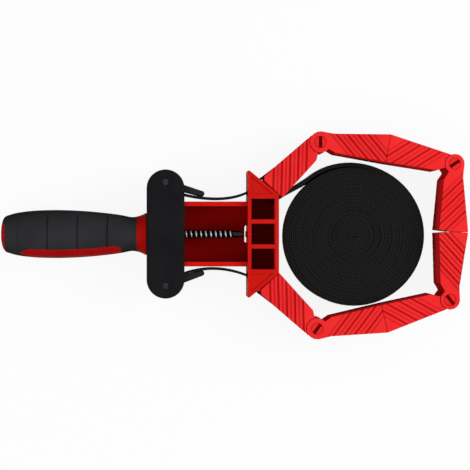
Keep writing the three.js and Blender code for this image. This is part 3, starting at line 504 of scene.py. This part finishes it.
# Head and channel with the marks that the mould's ejectors left in the channel's floor
CHANNEL_FLOOR, EJECTOR_RADIUS = 8 * MM, 3.7 * MM
EJECTORS = ((-50.2 * MM, 15.3 * MM, 0.3 * MM), (-52.9 * MM, -13.7 * MM, 0.15 * MM))  # x, y, proud
HEAD_EDGE = 0.3 * MM
marks = [("UNION", post(EJECTOR_RADIUS, Vector((x, y)), CHANNEL_FLOOR - MM, CHANNEL_FLOOR + proud))
         for x, y, proud in EJECTORS]
fine("head_frame", rounded(worked(whole("head_frame"), *marks), HEAD_EDGE), head_red, "head_fine")
refined("thrust_stud", steel_black, 0.15 * MM)

# Spindle: rolled thread, turned down along the tip, with an undercut and a plain end
LEAD, ROOT, CREST, CREST_WIDTH = 4 * MM, 2.6 * MM, 4.35 * MM, 0.9 * MM
SPINDLE_SIDES = 32
TIP_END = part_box("spindle")[1].x
HANDLE_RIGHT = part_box("handle_core")[1].x
TURNED_FROM, TURNED_RADIUS = TIP_END - 9.15 * MM, 2.95 * MM
NECK_FROM, NECK_RADIUS = TIP_END - 3.2 * MM, 1.9 * MM
KNOB_FROM, KNOB_RADIUS = TIP_END - 2.4 * MM, 2.4 * MM
KNOB_END, KNOB_FLARE = 1.6 * MM, 1.2  # radius at the tip, and its growth with the way back
BEFORE_JUMP = 0.02 * MM  # where the last station lies before a jump in radius
ridge = through([(0, CREST), (CREST_WIDTH, CREST), (LEAD / 2, ROOT), (LEAD, CREST)])


def spindle_radius(x, turn):
    if x < HANDLE_RIGHT:
        return ROOT
    if x >= KNOB_FROM:
        return min(KNOB_RADIUS, KNOB_END + (TIP_END - x) * KNOB_FLARE)
    if x >= NECK_FROM:
        return NECK_RADIUS
    thread = ridge((x - TIP_END - LEAD * turn / (2 * math.pi)) % LEAD)
    return min(thread, TURNED_RADIUS) if x > TURNED_FROM else thread


spindle_steps = [
    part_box("spindle")[0].x,
    *steps_between(HANDLE_RIGHT - 0.05 * MM, NECK_FROM - BEFORE_JUMP, 0.25 * MM),
    *steps_between(NECK_FROM, KNOB_FROM - BEFORE_JUMP, 0.4 * MM),
    *steps_between(KNOB_FROM, TIP_END, 0.2 * MM),
]
spindle = lathe(spindle_steps, spindle_radius, SPINDLE_SIDES)
piece("spindle_fine", spindle, thread_steel, ["spindle"])

# Crossbar
for cover in ("top", "bottom"):
    refined(f"crossbar_cover_{cover}", cover_black, 0.4 * MM)
refined("yoke", steel_zinc, 0.2 * MM)
refined("spindle_nut", nut_brass, 0.3 * MM)

# Levers: a cam round the pin and a tail with a rounded end, sunk a little inside its border
CAM, ROOT_OUT, ROOT_IN, ROOT_AT = 4.1 * MM, 5 * MM, 0.6 * MM, 9.8 * MM
TIP_AT, TIP_MIDDLE, TIP_HALF = 25.9 * MM, -1.9 * MM, 2.1 * MM
TIP_TURN = 0.06 * math.pi  # how far the rounded end's half circle is turned back
BORDER, SUNK = 0.75 * MM, 0.45 * MM
LEVER_EDGE = 0.15 * MM
LEVER_LEAN = {"upper": 0.0, "lower": math.radians(2.2)}  # turned in, towards the band
cam_turns = steps_between(0.5 * math.pi, 1.5 * math.pi, 0.2)
tip_turns = steps_between(-0.5 * math.pi - TIP_TURN, 0.5 * math.pi - TIP_TURN, 0.25)
lever_outline = [
    *((CAM * math.cos(t), CAM * math.sin(t)) for t in cam_turns),
    (ROOT_AT, -ROOT_IN),
    *((TIP_AT - TIP_HALF + TIP_HALF * math.cos(t), TIP_MIDDLE + TIP_HALF * math.sin(t))
      for t in tip_turns),
    (ROOT_AT, ROOT_OUT),
]
for side, sign in (("upper", 1), ("lower", -1)):
    refined(f"cover_screw_{side}", steel_black, 0.1 * MM)
    refined(f"lever_pin_{side}", steel_zinc, 0.2 * MM)
    fine(f"lever_spring_{side}", whole(f"lever_spring_{side}"), steel_zinc)
    low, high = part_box(f"lever_pin_{side}")
    pin = (low + high) / 2
    low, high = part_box(f"lever_{side}")
    lean = LEVER_LEAN[side]
    bm = bmesh.new()
    foot = bm.faces.new([
        bm.verts.new((pin.x + x * math.cos(lean) + y * math.sin(lean),
                      pin.y + sign * (y * math.cos(lean) - x * math.sin(lean)), low.z))
        for x, y in lever_outline])
    raised = bmesh.ops.extrude_face_region(bm, geom=[foot])
    bmesh.ops.translate(bm, vec=(0, 0, high.z - low.z),
                        verts=[v for v in raised["geom"] if isinstance(v, bmesh.types.BMVert)])
    bmesh.ops.recalc_face_normals(bm, faces=bm.faces)
    faces = [f for f in bm.faces if abs(f.normal.z) > 0.9]
    bmesh.ops.inset_region(bm, faces=faces, thickness=BORDER, depth=-SUNK)
    fine(f"lever_{side}", rounded(bm, LEVER_EDGE), lever_black)

# Handle: a grip with arc grooves, over a core with a butt cap, a collar and two strips
HANDLE_SIDES = 128
GRIP_LEFT, GRIP_RIGHT = (end.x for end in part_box("handle_grip"))
BUTT_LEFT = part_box("handle_core")[0].x
GRIP_LENGTH, GRIP_RADIUS = GRIP_RIGHT - GRIP_LEFT, 19.4 * MM
GRIP_SHARES = ((0, 0.755), (0.078, 0.88), (0.198, 0.969), (0.318, 1), (0.438, 1), (0.6, 0.959),
               (0.76, 0.876), (0.87, 0.794), (0.92, 0.737), (0.955, 0.709), (1, 0.735))
GRIP_STEP = 1.2 * MM
GRIP_SHARP_FROM = math.radians(70)
ROUND, ROUND_STEPS = 0.35 * MM, 4  # of the grip's two ends
GROOVES = ((0.094, 0.35 * MM), (0.322, 1.1 * MM), (0.546, 1.1 * MM), (0.769, 1.1 * MM))
GROOVE_HALF, GROOVE_SPAN, GROOVE_FADE = 0.9 * MM, 16 * MM, 1.2 * MM
GROOVE_STEEP = 2.2
GROOVE_STEP, GROOVE_STEPS = 0.12 * MM, 9  # stations on each side of a groove's middle


def grip_radius(x):
    """The grip's radius without its grooves."""
    return GRIP_RADIUS * eased(GRIP_SHARES, (x - GRIP_LEFT) / GRIP_LENGTH)


def grip_surface(x, turn):
    """The grip's radius with its grooves, and with its two ends rounded over."""
    radius = grip_radius(x)
    fade = smooth((GROOVE_SPAN - abs(radius * math.cos(turn))) / GROOVE_FADE)
    for place, depth in GROOVES:
        off = abs(x - GRIP_LEFT - place * GRIP_LENGTH) / GROOVE_HALF
        radius -= depth * fade * smooth((1 - off) * GROOVE_STEEP)
    into = min(x - GRIP_LEFT, GRIP_RIGHT - x, ROUND)
    return radius - ROUND + math.sqrt(max(ROUND ** 2 - (ROUND - into) ** 2, 0))


grip_steps = sorted({
    *steps_between(GRIP_LEFT, GRIP_RIGHT, GRIP_STEP),
    *(GRIP_LEFT + place * GRIP_LENGTH + GROOVE_STEP * k
      for place, _ in GROOVES for k in range(-GROOVE_STEPS, GROOVE_STEPS + 1)),
    *(GRIP_LEFT + ROUND * k / ROUND_STEPS for k in range(ROUND_STEPS)),
    *(GRIP_RIGHT - ROUND * k / ROUND_STEPS for k in range(ROUND_STEPS)),
})

# The butt's dome is red, and the grip laps over it on two sides
DOME = ((0, 4.4), (0.2, 6.4), (0.5, 8.1), (0.9, 9.8), (1.4, 11.3), (1.9, 12.3), (2.6, 13.3),
        (3.4, 14.0), (4.4, 14.0))  # millimetres from the butt's end, and radius there
LAP_TURN, LAP_FROM, LAP_PROUD = math.radians(15.6), 10.3 * MM, 0.25 * MM
LAP_STEEP, LAP_UNDER = 0.5, 0.5 * MM
CORE_IN = 0.5 * MM  # how far dome and lap reach into the grip
butt = through([(BUTT_LEFT + at * MM, radius * MM) for at, radius in DOME])
butt_steps = [BUTT_LEFT + at * MM for at, _ in DOME]


def lap(x, turn):
    """The grip's lap on the butt: proud of the dome on two sides, and under it elsewhere."""
    radius = butt(x)
    side = math.copysign(1.0, math.sin(turn))
    beyond = side * radius * math.cos(turn - LAP_TURN) - LAP_FROM
    return radius + min(max(beyond * LAP_STEEP, -LAP_UNDER), LAP_PROUD)


grip = lathe(grip_steps, grip_surface, HANDLE_SIDES)
add(grip, lathe([*butt_steps[3:-1], GRIP_LEFT + CORE_IN], lap, HANDLE_SIDES))
piece("grip_fine", grip, grip_black, ["handle_grip"], sharp=GRIP_SHARP_FROM)

COLLAR_RADIUS, COLLAR_STEP = 17 * MM, 0.4 * MM
COLLAR_SHARES = ((0, 0.85), (0.35, 0.9), (0.7, 0.965), (0.88, 1), (1, 0.985))
INNER_RADIUS, INNER_SIDES = 12 * MM, 32  # of the core inside the grip


def collar(x, turn):
    share = (x - GRIP_RIGHT) / (HANDLE_RIGHT - GRIP_RIGHT)
    return COLLAR_RADIUS * eased(COLLAR_SHARES, max(share, 0.0))


core = lathe(butt_steps, lambda x, turn: butt(x), HANDLE_SIDES)
add(core, lathe(steps_between(GRIP_RIGHT - MM, HANDLE_RIGHT, COLLAR_STEP), collar, HANDLE_SIDES))
add(core, lathe([GRIP_LEFT + CORE_IN, GRIP_RIGHT - CORE_IN], lambda x, turn: INNER_RADIUS,
                INNER_SIDES))

# Two strips are let into the grip, pointed towards the butt
STRIP_SHARES, STRIP_TURN = (0.109, 0.872), math.radians(90 + 58)
STRIP_HALF, STRIP_POINT, STRIP_TAPER = 5.8 * MM, 8 * MM, 5 * MM
STRIP_NOSE = ((0, 0.25 * MM), (0.8 * MM, 1.1 * MM))
STRIP_PROUD, STRIP_UNDER, STRIP_EDGE = 0.2 * MM, 1.5 * MM, 0.1 * MM
STRIP_STEP, STRIP_ACROSS = 0.8 * MM, 12


def strip(turn):
    """One strip: a shell that follows the grip."""
    low, high = (GRIP_LEFT + share * GRIP_LENGTH for share in STRIP_SHARES)
    half = through([*((low + at, wide) for at, wide in STRIP_NOSE), (low + STRIP_POINT, STRIP_HALF),
                    (high - STRIP_TAPER, STRIP_HALF), (high, STRIP_HALF / 2)])
    bm = bmesh.new()
    rings = []
    for x in steps_between(low, high, STRIP_STEP):
        radius = grip_radius(x)
        ring = []
        for depth, order in ((STRIP_PROUD, 1), (-STRIP_UNDER, -1)):
            for k in range(STRIP_ACROSS + 1)[::order]:
                off = half(x) * (2 * k / STRIP_ACROSS - 1)
                edge = STRIP_EDGE if depth > 0 and k in (0, STRIP_ACROSS) else 0.0
                at = turn + off / radius
                out = radius + depth - edge
                ring.append(bm.verts.new((x, out * math.cos(at), AXIS + out * math.sin(at))))
        rings.append(ring)
    return skinned(bm, rings)


for turn in (STRIP_TURN, STRIP_TURN + math.pi):
    add(core, strip(turn))
piece("core_fine", core, handle_red, ["handle_core"])


# Webbing

BAND_WIDTH = 25 * MM
BAND_THICK = 1.4 * MM
SELVEDGE = 5  # points round each rounded edge


def section(thick):
    """Outline of the band's cross-section, as (side, rise), with round edges."""
    half, rise = thick / 2, BAND_WIDTH / 2 - thick / 2
    turns = [math.pi * k / (SELVEDGE - 1) for k in range(SELVEDGE)]
    top = [(half * math.cos(turn), rise + half * math.sin(turn)) for turn in turns]
    return top + [(-side, -up) for side, up in top]


def ribbon(path, thick, leans=None):
    """A closed strip of webbing on edge, whose middle line is path, and its length.

    Its UV is in metres. leans holds the turn of each place's section, to the right of the way that
    the path runs.
    """
    bm = bmesh.new()
    uv = bm.loops.layers.uv.new("UVMap")
    profile = section(thick)
    round_it = [0.0]
    for here, after in zip(profile, profile[1:] + profile[:1]):
        round_it.append(round_it[-1] + math.dist(here, after))
    rings, runs = [], [0.0]
    for i, point in enumerate(path):
        along = path[min(i + 1, len(path) - 1)] - path[max(i - 1, 0)]
        level_across = Vector((-along.y, along.x, 0)).normalized()
        lean = leans[i] if leans else 0.0
        across = level_across * math.cos(lean) + UP * math.sin(lean)
        rise = UP * math.cos(lean) - level_across * math.sin(lean)
        rings.append([bm.verts.new(point + across * side + rise * up) for side, up in profile])
        if i:
            runs.append(runs[-1] + (point - path[i - 1]).length)
    count = len(profile)
    for i in range(len(path) - 1):
        here, following = rings[i], rings[i + 1]
        for k in range(count):
            after = (k + 1) % count
            face = bm.faces.new((here[k], following[k], following[after], here[after]))
            places = ((runs[i], k), (runs[i + 1], k), (runs[i + 1], k + 1), (runs[i], k + 1))
            for loop, (run, step) in zip(face.loops, places):
                loop[uv].uv = (run, round_it[step])
    for ring in (rings[0], rings[-1]):
        bm.faces.new(ring)
    return bm, runs[-1]


def strip_ends(node):
    """Middle points of a straight band node's two ends, at the band's middle height."""
    low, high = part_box(node)
    middle = (low.z + high.z) / 2
    corners = {(round(v.co.x, 6), round(v.co.y, 6)) for v in frame["nodes"][node].data.vertices}
    corners = [Vector((x, y, middle)) for x, y in corners]
    far = max(((a, b) for a in corners for b in corners),
              key=lambda pair: (pair[0] - pair[1]).length)
    ends = [sorted(corners, key=lambda c: (c - end).length)[:2] for end in far]
    return [(pair[0] + pair[1]) / 2 for pair in ends]


def webbing(name, path, nodes, bodies, thick=BAND_THICK, blend=None, leans=None):
    """A stretch of band that rides on one body, or, given blend, is baked in place and rides on none."""
    bm, length = ribbon(path, thick, leans)
    made = piece(name, bm, webbing_black, nodes, body=False if blend else bodies[0])
    if blend:
        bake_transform(made)


# Band round each corner: along one arm, round the knuckle and along the next
ARC_STEPS = 10
BEND_ROOM = 0.03  # share of an arm's stretch that has a point of its own beside the knuckle
pivots = {joint["name"]: Vector(joint["pos_m"]) for joint in frame["joints"] if "pos_m" in joint}

for k in range(1, 5):
    arms = (f"band_arm_{2 * k - 1}", f"band_arm_{2 * k}")
    pivot = pivots[f"corner_{k}_hinge"]
    (near_1, far_1), (near_2, far_2) = (
        sorted(strip_ends(node), key=lambda end: (end - pivot).length) for node in arms)
    pivot = Vector((pivot.x, pivot.y, near_1.z))
    start, end = near_1 - pivot, near_2 - pivot
    turn = start.xy.angle_signed(end.xy)
    arc = [pivot + Quaternion(UP, -turn * (step / ARC_STEPS)) @ start
           for step in range(ARC_STEPS + 1)]
    path = [far_1, near_1.lerp(far_1, BEND_ROOM), *arc, near_2.lerp(far_2, BEND_ROOM), far_2]
    webbing(f"band_round_{k}", path, [*arms, f"band_corner_{k}"],
            [BODY_OF[node] for node in arms], blend=(arc[0], arc[-1]))

# Band from the crossbar through the free stretch and the head
FREE_STEPS, FREE_THICK = 24, 1.9 * MM
MOUTH_OUT = {"upper": 1.1 * MM, "lower": 1.4 * MM}  # from the middle of its way out of the crossbar
FLARE_RUN, FLARE_STEPS = 6 * MM, 5  # where it bends out to that place, inside the crossbar
FLARE_LEAN = 0.15
DIP_RUN, DIP = 19 * MM, {"upper": 4.3 * MM, "lower": 6.8 * MM}
ARRIVE_RUN, ARRIVE_TURN = 15 * MM, {"upper": math.radians(26), "lower": math.radians(22)}


def bezier(a, b, c, d, steps):
    shares = [k / steps for k in range(steps + 1)]
    return [a * (1 - t) ** 3 + b * 3 * t * (1 - t) ** 2 + c * 3 * t * t * (1 - t) + d * t ** 3
            for t in shares]


for side, sign in (("upper", 1), ("lower", -1)):
    inside, mouth = sorted(strip_ends(f"band_end_{side}"), key=lambda end: end.x)
    mouth.y += sign * MOUTH_OUT[side]
    knee = Vector((mouth.x - FLARE_RUN, inside.y, mouth.z))
    slot, far = sorted(strip_ends(f"band_head_{side}"), key=lambda end: end.x)
    leave = mouth + Vector((DIP_RUN, -sign * DIP[side], 0))
    turn = ARRIVE_TURN[side]
    arrive = slot - Vector((math.cos(turn), sign * math.sin(turn), 0)) * ARRIVE_RUN
    flare = bezier(knee, knee.lerp(Vector((mouth.x, knee.y, knee.z)), 0.5),
                   mouth - (leave - mouth) * FLARE_LEAN, mouth, FLARE_STEPS)
    free = bezier(mouth, leave, arrive, slot, FREE_STEPS)
    webbing(f"band_stretch_{side}", [inside, *flare, *free[1:], far],
            [f"band_end_{side}", f"band_free_{side}", f"band_head_{side}"],
            ("crossbar", "head"), FREE_THICK, blend=(mouth, slot))

# Stored band, wound double from its fold; both layers leave on the lead to the head
TURNS, COIL_STEPS = 18, 72  # steps per turn
PITCH, CORE, LAYER_THICK = 3.07 * MM, 1.8 * MM, 1.53 * MM
COIL_GAP = 3.6 * MM
COIL_SIDE = -1.3 * MM
COIL_RAISED = 0.9 * MM
RIPPLE, RIPPLE_TURNS, RIPPLE_BEAT = 0.35 * MM, 1.7, 0.37  # uneven height, and its two rhythms
DARK_RINGS = (16.6 * MM, 20.6 * MM)  # where the turns have sunk
RING_HALF, RING_SUNK = 0.9 * MM, 0.9 * MM
EARLY = 24  # steps that the spiral starts before its full core
EYE = 0.8 * MM  # the fold lies this far beyond the spiral's start
FOLD_STEPS = 6
LEAN = math.radians(4.5)  # of both layers where they leave the coil
LEAN_RUN = math.radians(60)
LEAN_HELD = 1.4  # above 1, the lead holds its lean for a while before it stands up at the head
HUG = 0.75  # below 1, the leaning layers' foot presses into the coil
FRONT_HALF = 31.4 * MM  # of the head's front, where the lead goes in
LEAD_DROP, LEAD_IN, LEAD_STEPS = 2.2 * MM, 5.4 * MM, 14

head_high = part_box("head_frame")[1]
coil_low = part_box("band_coil")[0]
coil_radius = CORE + TURNS * PITCH
coil_middle = Vector((head_high.x + COIL_GAP + coil_radius, COIL_SIDE, coil_low.z + BAND_WIDTH / 2))
lead_mouth = Vector((head_high.x, FRONT_HALF - LEAD_DROP, AXIS))
from_mouth = (coil_middle - lead_mouth).xy
lead_length = math.sqrt(from_mouth.length_squared - coil_radius ** 2)
lead_heading = (math.atan2(from_mouth.y, from_mouth.x)
                + math.asin(coil_radius / from_mouth.length))
lead_along = Vector((math.cos(lead_heading), math.sin(lead_heading), 0))
leaves = Vector((lead_mouth.x, lead_mouth.y, coil_middle.z)) + lead_along * lead_length
leave_turn = math.atan2(leaves.y - coil_middle.y, leaves.x - coil_middle.x)


def foot_room(lean):
    """How far a layer moves out, so that its foot rests on the coil when it leans."""
    return HUG * BAND_WIDTH / 2 * math.sin(lean)


def coil_layer(shift):
    """One layer of the stored band, from the fold out to the head, and the leans along it."""
    points, leans = [], []
    for k in range(-EARLY, TURNS * COIL_STEPS + 1):
        turn = leave_turn - 2 * math.pi * (TURNS - k / COIL_STEPS)
        radius = CORE + PITCH * k / COIL_STEPS + shift
        rise = (RIPPLE * math.sin(radius / MM * RIPPLE_TURNS)
                * math.sin(radius / MM * RIPPLE_BEAT + turn))
        sunk = sum(math.exp(-((radius - ring) / RING_HALF) ** 2) for ring in DARK_RINGS)
        rise = COIL_RAISED + rise * (1 - min(sunk, 1)) - RING_SUNK * min(sunk, 1)
        rise *= min(1.0, (TURNS * COIL_STEPS - k) / COIL_STEPS)  # lost along the last turn
        leans.append(LEAN * smooth(1 + (turn - leave_turn) / LEAN_RUN))
        radius += foot_room(leans[-1])
        spoke = Vector((radius * math.cos(turn), radius * math.sin(turn), rise))
        points.append(coil_middle + spoke)
    left = Vector((lead_along.y, -lead_along.x, 0))
    for k in range(1, LEAD_STEPS + 1):
        share = k / LEAD_STEPS
        leans.append(LEAN * smooth((1 - share) * LEAN_HELD))
        room = (lead_length * share) ** 2 / (2 * coil_radius)  # how far the coil has curved away
        away = shift + max(foot_room(leans[-1]) - room, 0.0)
        points.append(leaves.lerp(lead_mouth, share) - left * away)
    points.append(lead_mouth - lead_along * LEAD_IN - left * shift)
    return points, [*leans, 0.0]


(inner, leans), (outer, _) = coil_layer(-PITCH / 4), coil_layer(PITCH / 4)
start_heading = (inner[0] - inner[1]).normalized()
for layer in (inner, outer):
    layer.insert(0, layer[0] + start_heading * EYE)
leans.insert(0, 0.0)
fold_middle = (inner[0] + outer[0]) / 2
out = inner[0] - fold_middle
back = start_heading * out.length
fold = [fold_middle + out * math.cos(turn) + back * math.sin(turn)
        for turn in (math.pi * k / FOLD_STEPS for k in range(1, FOLD_STEPS))]
webbing("band_stored", inner[::-1] + fold + outer, ["band_coil"], ["head"], LAYER_THICK,
        leans=[-lean for lean in leans[::-1]] + [0.0] * len(fold) + leans)


# Stage: a white floor that keeps the shadow, and a soft light from beyond the jaws
FLOOR_SIZE, FLOOR_DROP = 6.0, 0.2 * MM
FLOOR_GLOW = 0.9  # share of the floor that is plain white where it is seen
FLOOR_SEEN, FLOOR_BOUNCE = (0.94, 0.94, 0.94, 1), (0.16, 0.16, 0.16, 1)
HORIZON, ZENITH = 0.05, 0.78  # strength of the room's light


def background_share(tree):
    """1 for rays that see the background: camera, glossy and transmission rays."""
    path = tree.nodes.new("ShaderNodeLightPath")
    share = path.outputs["Is Camera Ray"]
    for key in ("Is Glossy Ray", "Is Transmission Ray"):
        most = tree.nodes.new("ShaderNodeMath")
        most.operation = "MAXIMUM"
        tree.links.new(share, most.inputs[0])
        tree.links.new(path.outputs[key], most.inputs[1])
        share = most.outputs["Value"]
    return share


bpy.ops.mesh.primitive_plane_add(size=FLOOR_SIZE, location=(0, 0, -FLOOR_DROP))
floor = bpy.context.object
floor.name = "floor"
floor_look = Look("floor_white", roughness=1.0, specular=0.0)
seen = background_share(floor_look.tree)
floor_look.colour(floor_look.between(seen, FLOOR_BOUNCE, FLOOR_SEEN))
glow = floor_look.node("ShaderNodeEmission")
glow.inputs["Strength"].default_value = 1.0
mixed = floor_look.node("ShaderNodeMixShader")
floor_look.link(floor_look.math("MULTIPLY", seen, FLOOR_GLOW), mixed.inputs["Fac"])
floor_look.link(floor_look.shader.outputs["BSDF"], mixed.inputs[1])
floor_look.link(glow.outputs["Emission"], mixed.inputs[2])
output = floor_look.tree.nodes["Material Output"]
floor_look.link(mixed.outputs["Shader"], output.inputs["Surface"])
floor.data.materials.append(floor_look.material)

# The room is brightest overhead, and white where it is seen
world = bpy.data.worlds.new("studio")
bpy.context.scene.world = world
world.use_nodes = True
room = world.node_tree
ambient = room.nodes["Background"]
ambient.inputs["Color"].default_value = (1, 1, 1, 1)
way = room.nodes.new("ShaderNodeSeparateXYZ")
room.links.new(room.nodes.new("ShaderNodeTexCoord").outputs["Generated"], way.inputs["Vector"])
strength = room.nodes.new("ShaderNodeMapRange")
strength.inputs["To Min"].default_value = HORIZON
strength.inputs["To Max"].default_value = ZENITH
room.links.new(way.outputs["Z"], strength.inputs["Value"])
room.links.new(strength.outputs["Result"], ambient.inputs["Strength"])
white = room.nodes.new("ShaderNodeBackground")
white.inputs["Strength"].default_value = 1.0
room_mix = room.nodes.new("ShaderNodeMixShader")
room.links.new(background_share(room), room_mix.inputs["Fac"])
room.links.new(ambient.outputs["Background"], room_mix.inputs[1])
room.links.new(white.outputs["Background"], room_mix.inputs[2])
room.links.new(room_mix.outputs["Shader"], room.nodes["World Output"].inputs["Surface"])


def soft_light(name, at, size, power):
    """A square lamp that shines on the head."""
    light = bpy.data.objects.new(name, bpy.data.lights.new(name, "AREA"))
    light.data.size = size
    light.data.energy = power
    light.location = at
    light.rotation_euler = (-Vector(at)).to_track_quat("-Z", "Y").to_euler()
    bpy.context.scene.collection.objects.link(light)


soft_light("key", (0.9, 0.12, 0.63), 0.6, 6.5)
soft_light("fill", (-0.5, -0.3, 0.6), 0.5, 1.2)
